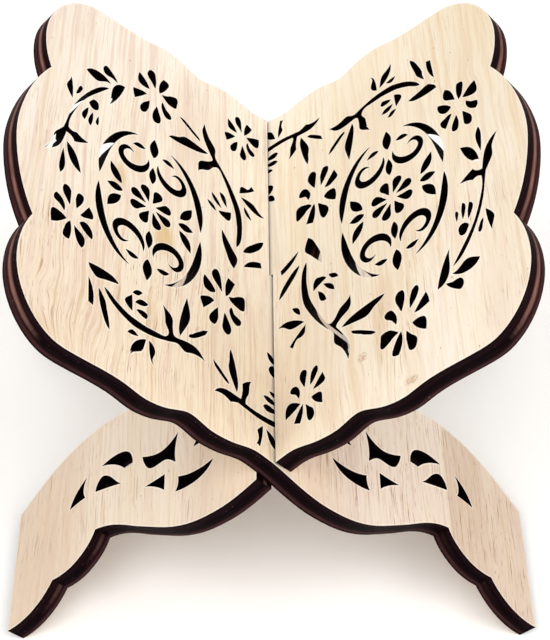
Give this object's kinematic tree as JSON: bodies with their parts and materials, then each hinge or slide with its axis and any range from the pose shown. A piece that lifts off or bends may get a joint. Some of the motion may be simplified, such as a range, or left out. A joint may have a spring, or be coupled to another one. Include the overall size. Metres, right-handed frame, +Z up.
{
  "type": "quran stand",
  "caption": "Cross-lapped plywood book stand: identical slotted boards cross to form a V-shaped pierced leaf rest on scalloped feet.",
  "frame": {"origin": "centre of the footprint at ground level: bounding-box centre in X and Y, lowest foot arris in Z", "axes": "+Z up; +Y along the crossing line, away from the viewer of an open book; +X from the first board's leaf towards the second board's leaf"},
  "size_m": [0.2308, 0.2284, 0.1999],
  "materials": {
    "face_veneer": "smooth sanded pale veneer, unvarnished, charred at the cut edges",
    "cross_veneer": "laser-charred edge, dark brown",
    "core_veneer": "laser-charred edge, lighter brown",
    "back_veneer": "smooth sanded pale veneer, unvarnished"
  },
  "bodies": {
    "board_a": {"board_a_face_ply": "face_veneer", "board_a_upper_cross_ply": "cross_veneer", "board_a_core_ply": "core_veneer", "board_a_lower_cross_ply": "cross_veneer", "board_a_back_ply": "back_veneer"},
    "board_b": {"board_b_face_ply": "face_veneer", "board_b_upper_cross_ply": "cross_veneer", "board_b_core_ply": "core_veneer", "board_b_lower_cross_ply": "cross_veneer", "board_b_back_ply": "back_veneer"}
  },
  "joints": [
    {"name": "board_b_slide", "type": "slide", "parent": "board_a", "child": "board_b", "axis": [0, 1, 0], "range_m": [0, 0.103]}
  ]
}
